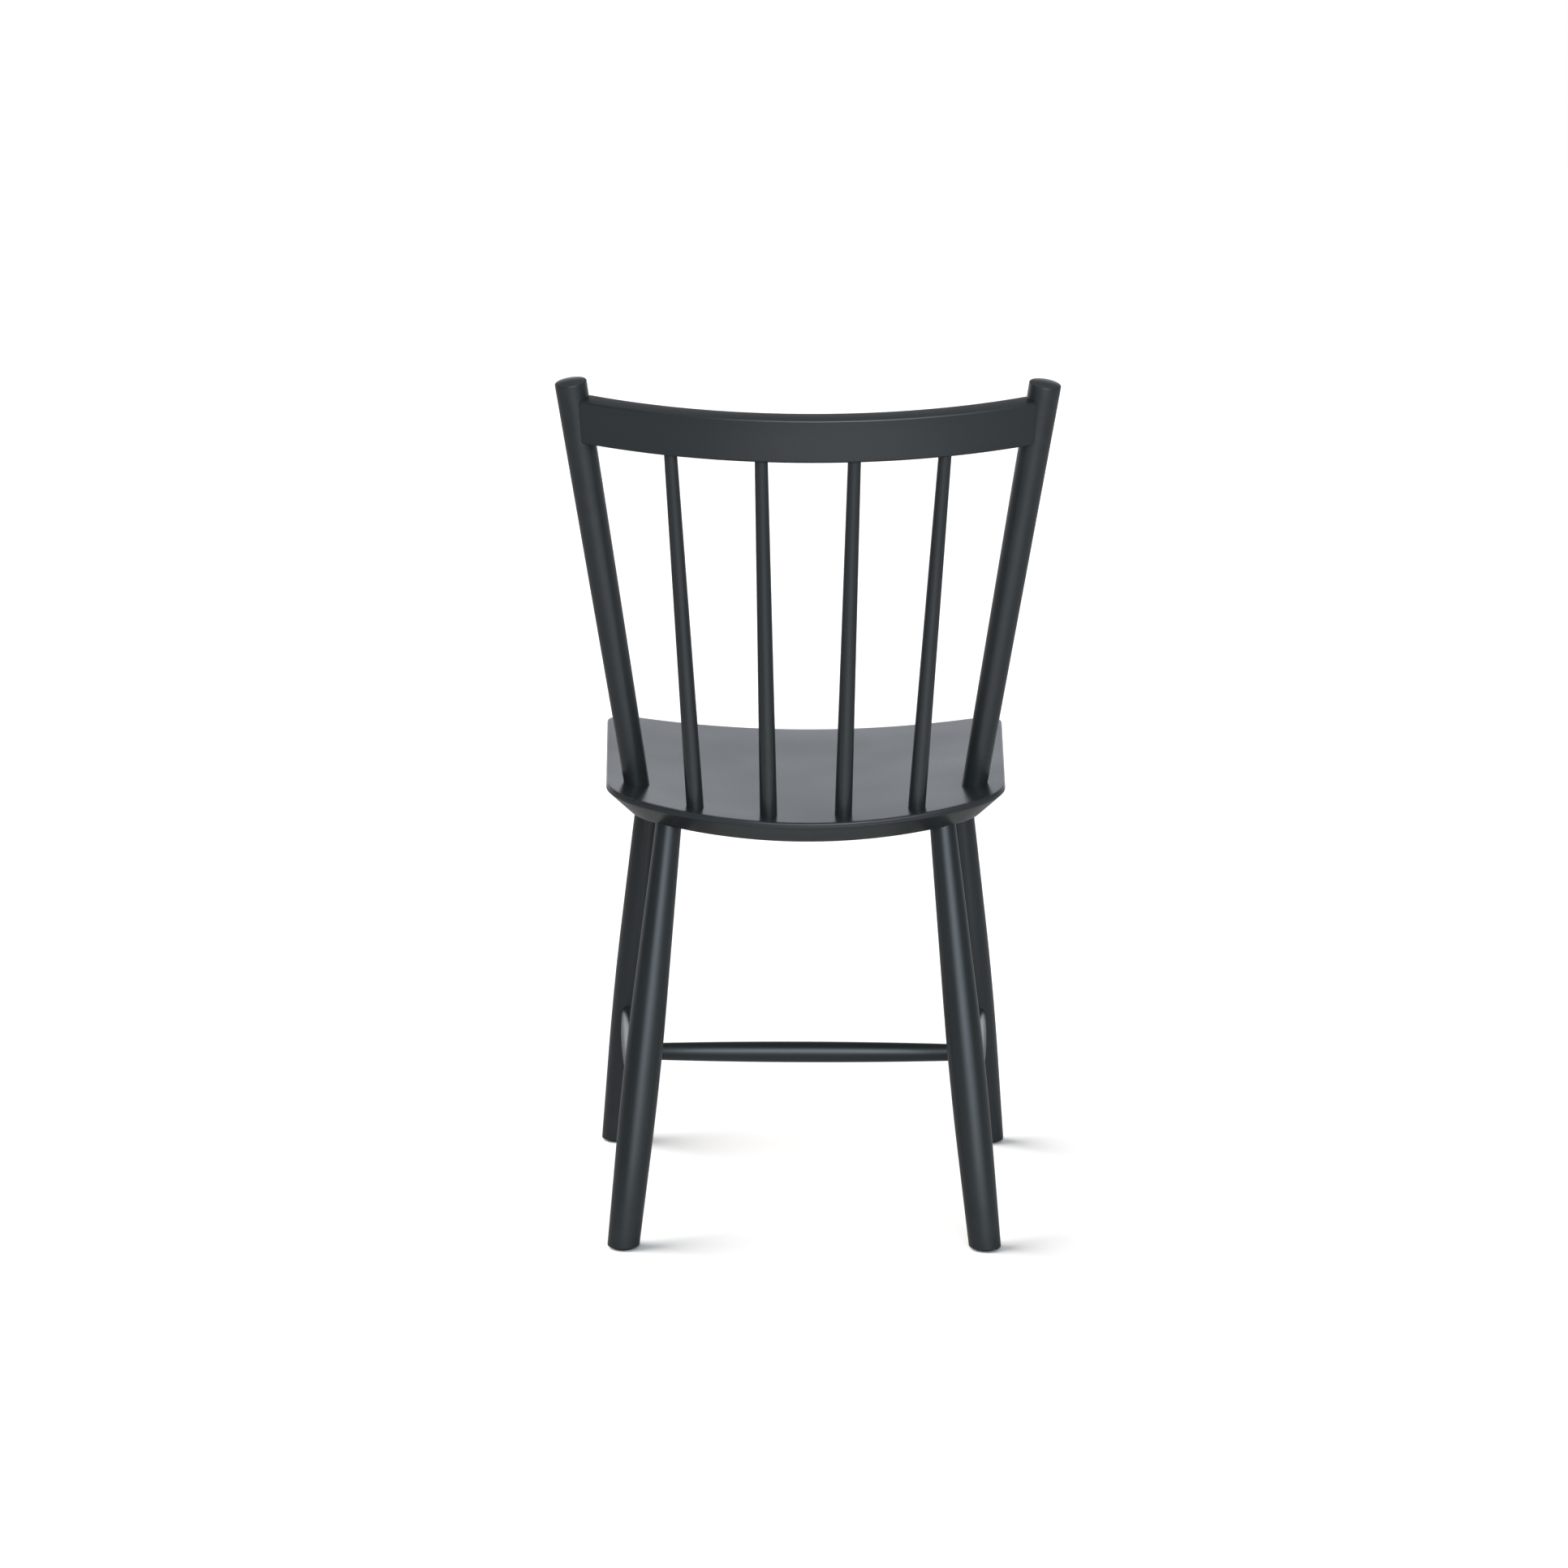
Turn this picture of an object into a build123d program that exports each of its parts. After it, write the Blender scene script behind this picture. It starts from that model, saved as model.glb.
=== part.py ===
"""Side chair of lacquered wood with a hollowed seat, turned legs and a spindle back.

Millimetres. The floor is Z = 0, the chair faces -Y, and the sitter's left is +X.
"""
import os
from math import asin, cos, degrees, radians, sin, sqrt

from build123d import *

os.makedirs("parts", exist_ok=True)

# Place of the chair over the floor
front_edge_y = -225.4

# Seat
seat_front_height = 442.5  # lowest line of the hollow, at the front edge
seat_slope = 2.2  # degrees, falling to the rear
seat_depth = 413.0
seat_front_width = 416.0
seat_rear_width = 390.8  # where the sides would meet the rear arc without the corner rounding
seat_front_bow = 4.0
seat_rear_bow = 65.0
seat_front_corner_radius = 35.0
seat_rear_corner_radius = 72.0
seat_thickness = 24.4
seat_hollow_radius = 1200.0
seat_lip = 5.5  # edge left above the undercut
seat_undercut = 24.0  # how far the undercut reaches in under the seat
seat_edge_rounding = 2.0
seat_lip_rounding = 1.5

# Legs
front_leg_side_inset = 52.0  # leg head from the front corner of the seat, sideways
front_leg_front_inset = 65.0  # leg head from the front edge of the seat
front_leg_side_splay = 43.5  # foot outside the head
front_leg_front_splay = 35.0  # foot ahead of the head
rear_leg_side_inset = 62.7
rear_leg_rear_inset = 72.0
rear_leg_side_splay = 45.3
rear_leg_rear_splay = 71.5
leg_head_diameter = 25.7
leg_swell_diameter = 37.8  # where the two tapers would meet without the blend
leg_foot_diameter = 31.4
leg_swell_height = 172.0  # up the leg from the floor
leg_swell_blend = 3500.0  # radius that runs one taper into the other
leg_socket_depth = 14.0  # into the underside of the seat
leg_neck = 6.0  # parallel stretch of the leg under the seat
foot_rounding = 1.2

# Stretchers
stretcher_height = 146.6
stretcher_end_diameter = 17.0
stretcher_stop = 3.0  # where the end stops, short of the middle of the leg
stretcher_neck = 0.5  # parallel stretch outside the leg
side_stretcher_diameter = 24.0
cross_stretcher_diameter = 21.4
cross_stretcher_stop = 3.0  # short of the middle of the side stretcher
cross_stretcher_neck = 3.0  # parallel stretch outside the side stretcher

# Back posts
post_side_inset = 30.0
post_rear_inset = 119.0
post_side_splay = 60.1  # top outside the foot
post_lean = 93.0  # top behind the foot
post_top_height = 849.0
post_foot_diameter = 24.9
post_top_diameter = 30.9
post_dome = 1.6
post_rim_rounding = 1.2
post_socket_depth = 12.0
post_neck = 4.0  # parallel stretch of the post above the seat

# Crest rail
rail_drop = 34.6  # middle of the rail below the top of the posts
rail_bow = 59.0
rail_height = 43.0
rail_thickness = 22.0
rail_rounding = 2.8
rail_end_chamfer = 0.6  # eases the ends round the posts
rail_tenon_thickness = 10.0
rail_tenon_height = 26.0
rail_tenon_reach = 2.0  # past the middle of the post

# Spindles
spindle_foot_diameter = 17.0
spindle_top_diameter = 12.6
spindle_seat_depth = 14.0
spindle_rail_depth = 16.0
inner_spindle_rear_inset = 35.5
inner_spindle_foot_offset = 36.0  # sideways from the middle of the chair
inner_spindle_top_offset = 44.3
outer_spindle_rear_inset = 49.0
outer_spindle_foot_offset = 107.0
outer_spindle_top_offset = 131.0

# Glides
glide_diameter = 20.0
glide_height = 2.5
glide_rounding = 0.6
nail_diameter = 2.0
nail_length = 14.0  # above the floor side of its head
nail_head_diameter = 7.0
nail_head_height = 0.8
nail_head_level = 0.9  # floor to the lower side of the nail head

# Fits
joint_clearance = 0.12  # all round between a tenon and its socket
glue_gap = 0.6  # behind the ends that do not bottom in their sockets
cutter_overrun = 20.0  # how far a cutting shape runs past the wood that it cuts


# Frames and places
slope = radians(seat_slope)
seat_plane = Plane(
    origin=(0, front_edge_y, seat_front_height), x_dir=(1, 0, 0), z_dir=(0, sin(slope), cos(slope))
)
seat_section_plane = Plane(origin=seat_plane.origin, x_dir=(1, 0, 0), z_dir=-seat_plane.y_dir)


def hollow(across):
    """Rise of the seat's hollow above its lowest line."""
    return seat_hollow_radius - sqrt(seat_hollow_radius**2 - across**2)


def on_seat(across, back, below):
    """Point under the hollowed top of the seat, by its distance below the surface."""
    return seat_plane.from_local_coords(Vector(across, back, hollow(across) - below))


def at_height(start, end, height):
    """Point of the line from start to end at a height above the floor."""
    return start + (end - start) * ((height - start.Z) / (end.Z - start.Z))


def member_plane(start, end):
    """Drawing plane of a turned piece: origin at start, Y along the piece."""
    along = (end - start).normalized()
    guide = Vector(0, 0, 1) if abs(along.Z) < 0.7 else Vector(0, 1, 0)
    across = along.cross(guide).normalized()
    return Plane(origin=start, x_dir=across, z_dir=across.cross(along))


sides = {"left": 1, "right": -1}

leg_lines = {}
for side, sign in sides.items():
    head = on_seat(
        sign * (seat_front_width / 2 - front_leg_side_inset),
        front_leg_front_inset,
        seat_thickness - leg_socket_depth,
    )
    foot = Vector(head.X + sign * front_leg_side_splay, head.Y - front_leg_front_splay, 0)
    leg_lines[f"front_{side}"] = (foot, head)
    head = on_seat(
        sign * (seat_rear_width / 2 - rear_leg_side_inset),
        seat_depth - rear_leg_rear_inset,
        seat_thickness - leg_socket_depth,
    )
    foot = Vector(head.X + sign * rear_leg_side_splay, head.Y + rear_leg_rear_splay, 0)
    leg_lines[f"rear_{side}"] = (foot, head)

stretcher_lines = {}
for side in sides:
    front_middle = at_height(*leg_lines[f"front_{side}"], stretcher_height)
    rear_middle = at_height(*leg_lines[f"rear_{side}"], stretcher_height)
    along = (rear_middle - front_middle).normalized()
    stretcher_lines[side] = (front_middle + along * stretcher_stop, rear_middle - along * stretcher_stop)

stretcher_tenon = leg_swell_diameter / 2 - stretcher_stop + stretcher_neck
cross_stretcher_tenon = side_stretcher_diameter / 2 - cross_stretcher_stop + cross_stretcher_neck

side_middles = {side: (start + end) / 2 for side, (start, end) in stretcher_lines.items()}
along = (side_middles["right"] - side_middles["left"]).normalized()
cross_line = (
    side_middles["left"] + along * cross_stretcher_stop,
    side_middles["right"] - along * cross_stretcher_stop,
)

post_lines = {}
for side, sign in sides.items():
    foot = on_seat(
        sign * (seat_rear_width / 2 - post_side_inset), seat_depth - post_rear_inset, post_socket_depth
    )
    top = Vector(foot.X + sign * post_side_splay, foot.Y + post_lean, post_top_height)
    post_lines[side] = (foot, top)

left_foot, left_top = post_lines["left"]
rail_end = at_height(left_foot, left_top, post_top_height - rail_drop)
rail_half_span = rail_end.X
rail_radius = (rail_half_span**2 + rail_bow**2) / (2 * rail_bow)
rail_plane = Plane(
    origin=(0, rail_end.Y, rail_end.Z),
    x_dir=(1, 0, 0),
    z_dir=(0, left_top.Y - left_foot.Y, left_top.Z - left_foot.Z),
)


def on_rail(across, above):
    """Point of the rail's middle curve, raised above its underside."""
    behind = sqrt(rail_radius**2 - across**2) - (rail_radius - rail_bow)
    return rail_plane.from_local_coords(Vector(across, behind, above - rail_height / 2))


spindle_lines = {}
for side, sign in sides.items():
    spindle_lines[f"outer_{side}"] = (
        on_seat(sign * outer_spindle_foot_offset, seat_depth - outer_spindle_rear_inset, spindle_seat_depth),
        on_rail(sign * outer_spindle_top_offset, spindle_rail_depth),
    )
    spindle_lines[f"inner_{side}"] = (
        on_seat(sign * inner_spindle_foot_offset, seat_depth - inner_spindle_rear_inset, spindle_seat_depth),
        on_rail(sign * inner_spindle_top_offset, spindle_rail_depth),
    )


# Steps shared by several pieces
def bore(inner_end, mouth, diameter, depth, gap=0.0):
    """Cut a blind round socket from its inner end out through its mouth."""
    outward = (mouth - inner_end).normalized()
    with BuildSketch(Plane(origin=inner_end - outward * gap, z_dir=outward)) as socket:
        Circle(diameter / 2 + joint_clearance)
    extrude(socket.sketch, amount=gap + depth + cutter_overrun, mode=Mode.SUBTRACT)


def turn_stretcher(start, end, middle_diameter, tenon_length):
    """Turn a stretcher that swells in one arc between its parallel ends."""
    length = (end - start).length
    end_radius = stretcher_end_diameter / 2
    with BuildSketch(member_plane(start, end)) as profile:
        with BuildLine():
            ThreePointArc(
                (end_radius, tenon_length),
                (middle_diameter / 2, length / 2),
                (end_radius, length - tenon_length),
            )
            Polyline(
                (end_radius, length - tenon_length),
                (end_radius, length),
                (0, length),
                (0, 0),
                (end_radius, 0),
                (end_radius, tenon_length),
            )
        make_face()
    revolve(profile.sketch, axis=Axis(start, end - start))


def bend_bar(thickness, height, half_span, mode=Mode.ADD):
    """Make a bar bent along the rail's curve and centred on it, out to half_span each way."""
    half_angle = degrees(asin(half_span / rail_radius))
    centre = (0, rail_bow - rail_radius)
    with BuildSketch(rail_plane.offset(-height / 2)) as band:
        with BuildLine():
            rear = CenterArc(centre, rail_radius + thickness / 2, 90 - half_angle, 2 * half_angle)
            front = CenterArc(centre, rail_radius - thickness / 2, 90 - half_angle, 2 * half_angle)
            Line(rear @ 0, front @ 0)
            Line(rear @ 1, front @ 1)
        make_face()
    extrude(band.sketch, amount=height, mode=mode)


# Seat: outline, hollow of even thickness, undercut edge, sockets
with BuildPart() as seat:
    half_front = seat_front_width / 2
    half_rear = seat_rear_width / 2
    rear_corner_back = seat_depth - seat_rear_bow
    with BuildSketch(seat_plane.offset(-seat_thickness - cutter_overrun)) as outline:
        with BuildLine():
            ThreePointArc((-half_front, seat_front_bow), (0, 0), (half_front, seat_front_bow))
            Line((half_front, seat_front_bow), (half_rear, rear_corner_back))
            ThreePointArc((half_rear, rear_corner_back), (0, seat_depth), (-half_rear, rear_corner_back))
            Line((-half_rear, rear_corner_back), (-half_front, seat_front_bow))
        make_face()
        fillet(outline.vertices().sort_by(Axis.Y)[:2], radius=seat_front_corner_radius)
        fillet(outline.vertices().sort_by(Axis.Y)[-2:], radius=seat_rear_corner_radius)
    extrude(amount=seat_thickness + hollow(half_front) + 2 * cutter_overrun)
    half_angle = degrees(asin((half_front + cutter_overrun) / seat_hollow_radius))
    with BuildSketch(seat_section_plane):
        with BuildLine():
            centre = (0, seat_hollow_radius)
            upper = CenterArc(centre, seat_hollow_radius, 270 - half_angle, 2 * half_angle)
            lower = CenterArc(centre, seat_hollow_radius + seat_thickness, 270 - half_angle, 2 * half_angle)
            Line(upper @ 0, lower @ 0)
            Line(upper @ 1, lower @ 1)
        make_face()
    extrude(amount=seat_depth + cutter_overrun, both=True, mode=Mode.INTERSECT)
    underside = seat.faces().sort_by(SortBy.AREA)[-2:].sort_by(Axis.Z)[0]
    chamfer(underside.edges(), length=seat_undercut, length2=seat_thickness - seat_lip, reference=underside)
    upright = Axis(seat_plane.origin, seat_plane.z_dir)
    walls = seat.faces().filter_by(lambda face: abs(face.normal_at().dot(upright.direction)) < 0.01)
    fillet([wall.edges().sort_by(upright)[0] for wall in walls], radius=seat_lip_rounding)
    sitting_face = seat.faces().sort_by(SortBy.AREA)[-1]
    fillet(sitting_face.edges(), radius=seat_edge_rounding)
    for foot, head in leg_lines.values():
        bore(head, foot, leg_head_diameter, leg_socket_depth)
    for foot, top in post_lines.values():
        bore(foot, top, post_foot_diameter, post_socket_depth)
    for foot, top in spindle_lines.values():
        bore(foot, top, spindle_foot_diameter, spindle_seat_depth)
seat.part.label = "seat"
export_step(seat.part, "parts/seat.step")

# Legs: two tapers run together in a swell, foot cut level
for name, (foot, head) in leg_lines.items():
    length = (head - foot).length
    overrun = leg_foot_diameter / 2
    lower_taper = (leg_swell_diameter - leg_foot_diameter) / 2 / leg_swell_height
    place, side = name.split("_")
    stretcher_front, stretcher_rear = stretcher_lines[side]
    with BuildPart() as leg:
        with BuildSketch(member_plane(foot, head)) as profile:
            with BuildLine():
                Polyline(
                    (0, -overrun),
                    (leg_foot_diameter / 2 - lower_taper * overrun, -overrun),
                    (leg_swell_diameter / 2, leg_swell_height),
                    (leg_head_diameter / 2, length - leg_socket_depth - leg_neck),
                    (leg_head_diameter / 2, length),
                    (0, length),
                    close=True,
                )
            make_face()
            fillet(profile.vertices().sort_by(Axis.X)[-1], radius=leg_swell_blend)
        revolve(axis=Axis(foot, head - foot))
        split(bisect_by=Plane.XY.offset(glide_height), keep=Keep.TOP)
        fillet(leg.edges().sort_by(Axis.Z)[0], radius=foot_rounding)
        if place == "front":
            bore(stretcher_front, stretcher_rear, stretcher_end_diameter, stretcher_tenon)
        else:
            bore(stretcher_rear, stretcher_front, stretcher_end_diameter, stretcher_tenon)
        nail_top = Vector(foot.X, foot.Y, nail_head_level + nail_length)
        bore(nail_top, foot, nail_diameter, nail_length, glue_gap)
    leg.part.label = f"{name}_leg"
    export_step(leg.part, f"parts/{name}_leg.step")

# Side stretchers, each with a socket for the cross stretcher
for side, (start, end) in stretcher_lines.items():
    with BuildPart() as side_stretcher:
        turn_stretcher(start, end, side_stretcher_diameter, stretcher_tenon)
        near_end, far_end = cross_line if side == "left" else cross_line[::-1]
        bore(near_end, far_end, stretcher_end_diameter, cross_stretcher_tenon)
    side_stretcher.part.label = f"{side}_side_stretcher"
    export_step(side_stretcher.part, f"parts/{side}_side_stretcher.step")

# Cross stretcher
with BuildPart() as cross_stretcher:
    turn_stretcher(*cross_line, cross_stretcher_diameter, cross_stretcher_tenon)
cross_stretcher.part.label = "cross_stretcher"
export_step(cross_stretcher.part, "parts/cross_stretcher.step")

# Back posts as turned, before the mortises are cut
turned_posts = {}
for side, (foot, top) in post_lines.items():
    length = (top - foot).length
    with BuildPart() as turned_post:
        with BuildSketch(member_plane(foot, top)) as profile:
            with BuildLine():
                Polyline(
                    (0, length + post_dome),
                    (0, 0),
                    (post_foot_diameter / 2, 0),
                    (post_foot_diameter / 2, post_socket_depth + post_neck),
                    (post_top_diameter / 2, length),
                )
                TangentArc((0, length + post_dome), (post_top_diameter / 2, length), tangent=(1, 0))
            make_face()
            fillet(profile.vertices().sort_by(Axis.X)[-1], radius=post_rim_rounding)
        revolve(axis=Axis(foot, top - foot))
    turned_posts[side] = turned_post.part

# Crest rail: bent bar with rounded edges, ends fitted round the posts, stub tenons, spindle sockets
with BuildPart() as crest_rail:
    bend_bar(rail_thickness, rail_height, rail_half_span)
    fillet(crest_rail.edges().filter_by(GeomType.CIRCLE), radius=rail_rounding)
    add(list(turned_posts.values()), mode=Mode.SUBTRACT)
    chamfer(crest_rail.faces().filter_by(GeomType.CONE).edges(), length=rail_end_chamfer)
    bend_bar(rail_tenon_thickness, rail_tenon_height, rail_half_span + rail_tenon_reach)
    for foot, top in spindle_lines.values():
        bore(top, foot, spindle_top_diameter, spindle_rail_depth, glue_gap)
crest_rail.part.label = "crest_rail"
export_step(crest_rail.part, "parts/crest_rail.step")

# Back posts with their mortises
for side in sides:
    with BuildPart() as back_post:
        add(turned_posts[side])
        bend_bar(
            rail_tenon_thickness + 2 * joint_clearance,
            rail_tenon_height + 2 * joint_clearance,
            rail_half_span + rail_tenon_reach + glue_gap,
            Mode.SUBTRACT,
        )
    back_post.part.label = f"{side}_back_post"
    export_step(back_post.part, f"parts/{side}_back_post.step")

# Spindles: one taper from the seat to the rail, parallel where they enter them
for name, (foot, top) in spindle_lines.items():
    length = (top - foot).length
    with BuildPart() as spindle:
        with BuildSketch(member_plane(foot, top)):
            with BuildLine():
                Polyline(
                    (0, 0),
                    (spindle_foot_diameter / 2, 0),
                    (spindle_foot_diameter / 2, spindle_seat_depth),
                    (spindle_top_diameter / 2, length - spindle_rail_depth),
                    (spindle_top_diameter / 2, length),
                    (0, length),
                    close=True,
                )
            make_face()
        revolve(axis=Axis(foot, top - foot))
    spindle.part.label = f"{name}_spindle"
    export_step(spindle.part, f"parts/{name}_spindle.step")

# Glides under the feet and the nails moulded into them
with BuildPart() as glide_nails:
    for foot, head in leg_lines.values():
        with BuildSketch(Plane(origin=(foot.X, foot.Y, nail_head_level))):
            Circle(nail_head_diameter / 2)
        extrude(amount=nail_head_height)
        with BuildSketch(Plane(origin=(foot.X, foot.Y, nail_head_level))):
            Circle(nail_diameter / 2)
        extrude(amount=nail_length)
glide_nails.part.label = "glide_nails"
export_step(glide_nails.part, "parts/glide_nails.step")

for name, (foot, head) in leg_lines.items():
    with BuildPart() as glide:
        with BuildSketch(Plane(origin=(foot.X, foot.Y, 0))):
            Circle(glide_diameter / 2)
        extrude(amount=glide_height)
        fillet(glide.edges().sort_by(Axis.Z)[0], radius=glide_rounding)
        add(glide_nails.part, mode=Mode.SUBTRACT)
    glide.part.label = f"{name}_glide"
    export_step(glide.part, f"parts/{name}_glide.step")
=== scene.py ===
"""Side chair with a spindle back: finished pieces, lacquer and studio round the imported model."""
from math import acos, asin, atan2, cos, hypot, pi, radians, sin, sqrt, tan

import bmesh
import bpy
from bpy.props import FloatProperty, FloatVectorProperty, IntProperty, PointerProperty
from mathutils import Matrix, Vector


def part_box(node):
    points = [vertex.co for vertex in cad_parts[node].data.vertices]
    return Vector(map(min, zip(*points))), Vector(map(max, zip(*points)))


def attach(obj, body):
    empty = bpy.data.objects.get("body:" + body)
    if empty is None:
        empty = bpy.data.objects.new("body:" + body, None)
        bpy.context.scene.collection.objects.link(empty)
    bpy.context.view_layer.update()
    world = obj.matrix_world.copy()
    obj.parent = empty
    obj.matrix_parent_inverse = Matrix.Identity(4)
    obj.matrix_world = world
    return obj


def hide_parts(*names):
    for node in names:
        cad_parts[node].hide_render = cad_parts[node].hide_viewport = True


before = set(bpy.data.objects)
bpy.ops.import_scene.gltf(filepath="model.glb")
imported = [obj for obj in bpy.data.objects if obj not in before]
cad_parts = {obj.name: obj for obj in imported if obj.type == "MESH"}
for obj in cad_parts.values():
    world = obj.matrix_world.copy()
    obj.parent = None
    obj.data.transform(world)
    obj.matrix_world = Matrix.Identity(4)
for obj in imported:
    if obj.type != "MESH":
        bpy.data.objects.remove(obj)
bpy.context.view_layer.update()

bl_info = {
    "name": "Spindle Back Side Chair",
    "version": (1, 0, 0),
    "blender": (4, 5, 0),
    "location": "3D View > Sidebar > Chair",
    "description": "Models the pieces of a lacquered side chair and the studio that it stands in",
    "category": "Add Mesh",
}

BODY = "root"
SIDES = ("left", "right")
UP = Vector((0, 0, 1))
FRONT = Vector((0, -1, 0))
LEFT = Vector((1, 0, 0))
SAME_POINT = 1e-6  # metres within which points count as one
SAME_LEVEL = 2e-5  # metres within which points lie in one flat end
CRISP_EDGE = radians(35)  # sharper edges than this are not smoothed
GRAIN_STEPS = (0.37, 0.61, 0.83)  # give each piece its own stretch of the grain


# Kinds of settings
def length(name, description, default):
    """Property for a size in metres."""
    return FloatProperty(
        name=name, description=description, default=default, min=0, precision=4, unit="LENGTH"
    )


def position(name, description, default):
    """Property for a point or a reach in metres."""
    return FloatVectorProperty(
        name=name, description=description, default=default, subtype="XYZ", unit="LENGTH"
    )


def angle(name, description, degrees):
    """Property for an angle, with its default in degrees."""
    return FloatProperty(
        name=name, description=description, default=radians(degrees), subtype="ANGLE"
    )


def brightness(name, description, default):
    """Property for the strength of a light."""
    return FloatProperty(name=name, description=description, default=default, min=0)


def share(name, description, default):
    """Property for a share between nothing and all."""
    return FloatProperty(
        name=name, description=description, default=default, min=0, max=1, subtype="FACTOR"
    )


def colour(name, description, default):
    """Property for a linear colour."""
    return FloatVectorProperty(
        name=name, description=description, default=default, subtype="COLOR", min=0, max=1
    )


class SeatSizes(bpy.types.PropertyGroup):
    """Sizes of the seat board"""

    depth: length("Depth", "Front edge to the middle of the rear edge", 0.413)
    front_width: length("Front width", "Across the front corners before they are rounded", 0.416)
    rear_width: length("Rear width", "Across the rear corners before they are rounded", 0.3908)
    front_bow: length("Front bow", "How far the front edge swells ahead of its corners", 0.004)
    rear_bow: length("Rear bow", "How far the rear edge swells behind its corners", 0.065)
    front_corner: length("Front corner", "Radius of the front corners", 0.035)
    rear_corner: length("Rear corner", "Radius of the rear corners", 0.072)
    thickness: length("Thickness", "Thickness of the board", 0.0244)
    hollow_radius: length("Hollow radius", "Radius of the hollow across the seat", 1.2)
    lip: length("Lip", "Edge left above the undercut", 0.0055)
    undercut: length("Undercut", "How far the undercut reaches in under the seat", 0.024)
    rounding: length("Rounding", "Radius of the upper edge", 0.002)
    lip_rounding: length("Lip rounding", "Radius where the edge meets the undercut", 0.0015)
    arris: length("Arris", "Radius of the lower edge of the undercut", 0.001)
    front_height: length("Front height", "Floor to the hollow's lowest line at the front", 0.4425)
    front_edge: FloatProperty(
        name="Front edge",
        description="Place of the front edge along Y",
        default=-0.2254,
        unit="LENGTH",
    )
    slope: angle("Slope", "Fall of the seat towards the rear", 2.2)


class TurningSizes(bpy.types.PropertyGroup):
    """Sizes of the turned pieces"""

    sides: IntProperty(name="Sides", description="Faces round a turned piece", default=72, min=16)
    leg_head: length("Leg head", "Diameter of a leg at the seat", 0.0257)
    leg_swell: length("Leg swell", "Diameter where a leg's two tapers meet", 0.0378)
    leg_foot: length("Leg foot", "Diameter of a leg at the floor", 0.0314)
    leg_swell_height: length("Swell height", "Place of the swell, up the leg", 0.172)
    leg_swell_blend: length("Swell blend", "Radius that runs one taper into the other", 3.5)
    leg_neck: length("Leg neck", "Parallel end of a leg", 0.020)
    foot_rounding: length("Foot rounding", "Radius round the sole of a leg", 0.0012)
    stretcher_end: length("Stretcher end", "Diameter of a stretcher at its ends", 0.017)
    stretcher_neck: length("Stretcher neck", "Parallel end of a side stretcher", 0.0164)
    cross_neck: length("Cross stretcher neck", "Parallel end of the cross stretcher", 0.012)
    side_stretcher: length("Side stretcher", "Diameter in the middle of a side stretcher", 0.024)
    cross_stretcher: length("Cross stretcher", "Diameter in the middle of the cross stretcher", 0.0214)
    post_foot: length("Post foot", "Diameter of a back post at the seat", 0.0249)
    post_top: length("Post top", "Diameter of a back post at its top", 0.0309)
    post_neck: length("Post neck", "Parallel foot of a back post", 0.016)
    post_dome: length("Post dome", "Rise of the top of a back post", 0.0016)
    post_rim: length("Post rim", "Radius round the top of a back post", 0.0012)
    spindle_foot: length("Spindle foot", "Diameter of a spindle at the seat", 0.017)
    spindle_top: length("Spindle top", "Diameter of a spindle at the rail", 0.0126)
    spindle_foot_neck: length("Spindle foot neck", "Parallel foot of a spindle", 0.014)
    spindle_top_neck: length("Spindle top neck", "Parallel top of a spindle", 0.016)


class RailSizes(bpy.types.PropertyGroup):
    """Sizes of the crest rail"""

    middle_height: length("Middle height", "Where the rail meets the middle of the posts", 0.8144)
    bow: length("Bow", "How far the middle of the rail lies behind the posts", 0.059)
    height: length("Height", "Height of the rail", 0.043)
    thickness: length("Thickness", "Thickness of the rail", 0.022)
    rounding: length("Rounding", "Radius of the long edges", 0.0028)
    end_easing: length("End easing", "Radius round the ends, where they meet the posts", 0.0008)


class FinishSettings(bpy.types.PropertyGroup):
    """Colours and textures of the finishes"""

    lacquer: colour("Lacquer", "Colour of the lacquer", (0.0195, 0.0233, 0.0244))
    lacquer_shift: colour("Lacquer shift", "Colour that it drifts towards", (0.0220, 0.0258, 0.0270))
    worn: colour("Worn edge", "Colour of rubbed edges", (0.050, 0.055, 0.056))
    wear: share("Wear", "Strength of the rubbed edges", 0.35)
    gloss_low: share("Least roughness", "Roughness of the smoothest lacquer", 0.27)
    gloss_high: share("Most roughness", "Roughness of the dullest lacquer", 0.33)
    grain: share("Grain", "Strength of the grain that shows through the lacquer", 0.008)
    peel: share("Peel", "Strength of the sprayed texture", 0.012)
    plastic: colour("Plastic", "Colour of the glides", (0.020, 0.020, 0.021))
    steel: colour("Steel", "Colour of the nails", (0.55, 0.55, 0.56))


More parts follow.
